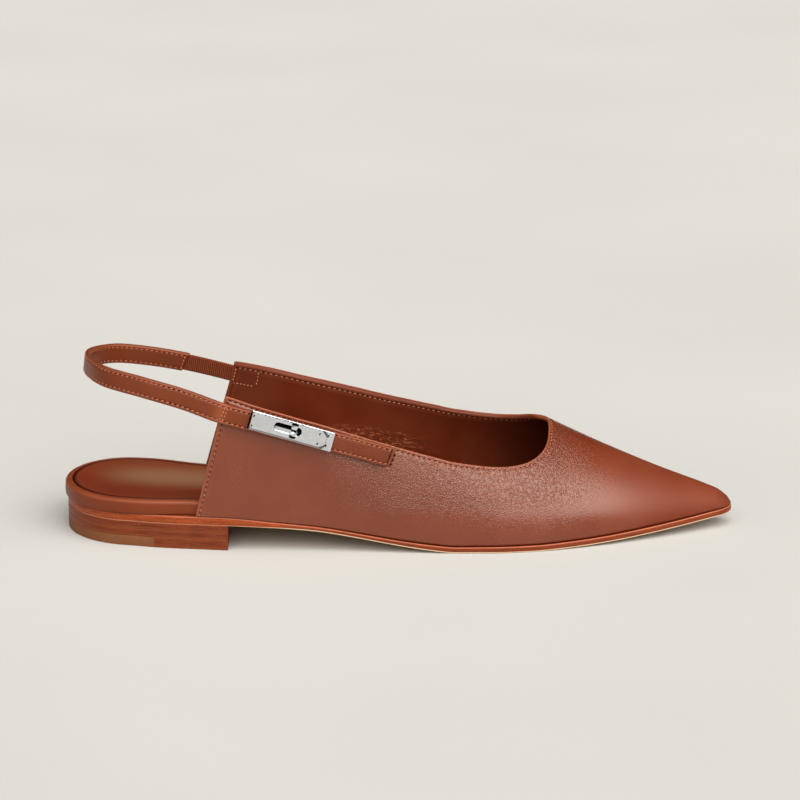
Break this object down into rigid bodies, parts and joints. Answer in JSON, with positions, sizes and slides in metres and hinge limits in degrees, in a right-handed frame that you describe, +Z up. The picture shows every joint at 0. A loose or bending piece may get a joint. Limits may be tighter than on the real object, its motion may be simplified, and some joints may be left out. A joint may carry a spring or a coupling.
{
  "type": "slingback shoe",
  "caption": "Women's pointed-toe flat shoe with a leather sling strap round the heel, a turn lock on its outer side, a low stacked heel and a thin leather sole.",
  "frame": {"origin": "on the floor under the heel, 30 mm in front of the back of the heel seat", "axes": "+X from heel to toe, +Y towards the inner side of the foot, +Z up from the floor"},
  "size_m": [0.2672, 0.0808, 0.0723],
  "materials": {
    "upper_leather": "fine-grained tan-brown leather, soft sheen",
    "sock_leather": "smooth lining leather, satin",
    "sole_leather": "dyed and waxed sole edge",
    "stacked_leather": "stacked leather layers, waxed edge",
    "top_piece_rubber": "smooth brown rubber",
    "elastic": "ribbed woven elastic",
    "lock_metal": "polished palladium-coloured plating"
  },
  "bodies": {
    "root": {"outsole": "sole_leather", "heel_lift_1": "stacked_leather", "heel_lift_2": "stacked_leather", "top_piece_leather": "stacked_leather", "top_piece_rubber": "top_piece_rubber", "footbed": "upper_leather", "sock": "sock_leather", "upper": "upper_leather", "sling_strap": "upper_leather", "elastic": "elastic", "lock_base_plate": "lock_metal", "lock_front_plate": "lock_metal", "lock_knob": "lock_metal", "lock_rivet_1": "lock_metal", "lock_rivet_2": "lock_metal", "lock_rivet_3": "lock_metal", "lock_rivet_4": "lock_metal", "lock_rivet_5": "lock_metal", "lock_rivet_6": "lock_metal"}
  },
  "joints": []
}
